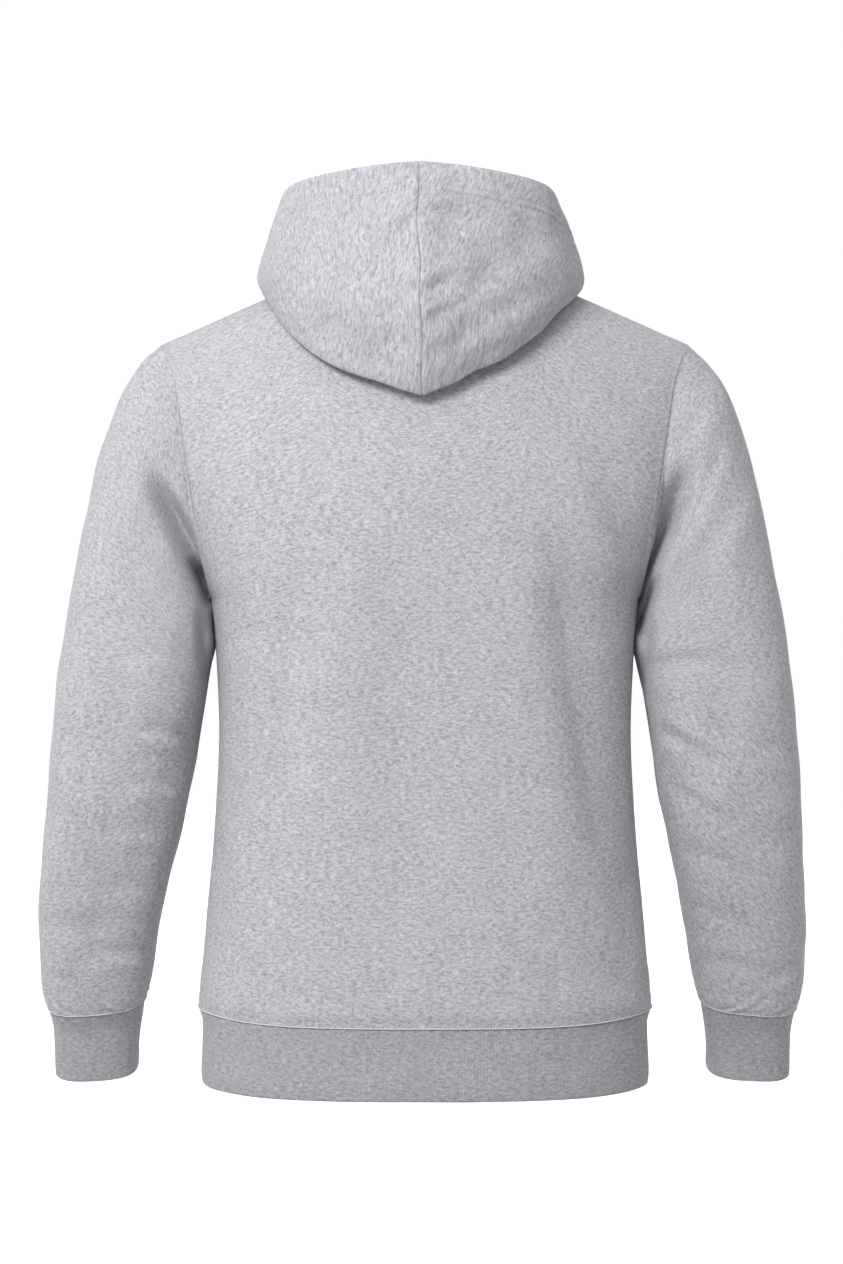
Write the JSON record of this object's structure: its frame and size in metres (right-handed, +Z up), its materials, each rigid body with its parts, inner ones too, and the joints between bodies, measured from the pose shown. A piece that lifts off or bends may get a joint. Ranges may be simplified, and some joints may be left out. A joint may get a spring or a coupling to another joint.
{
  "type": "pullover hoodie",
  "caption": "Pullover hoodie in marl fleece, filled out as worn with its hood down, with ribbed cuffs and waistband.",
  "frame": {"origin": "middle of the neck opening, level with the neck ends of the shoulder seams, where the wearer's neck and shoulders hold it", "axes": "+Z up, -Y the wearer's front, +X the wearer's left"},
  "size_m": [0.6663, 0.2691, 0.7842],
  "materials": {
    "fleece": "grey marl fleece, matt",
    "rib": "grey marl rib knit, matt"
  },
  "bodies": {
    "root": {"back": "fleece", "front": "fleece", "sleeve_left": "fleece", "sleeve_right": "fleece", "hood_left": "fleece", "hood_right": "fleece", "waistband": "rib", "cuff_left": "rib", "cuff_right": "rib"}
  },
  "joints": []
}
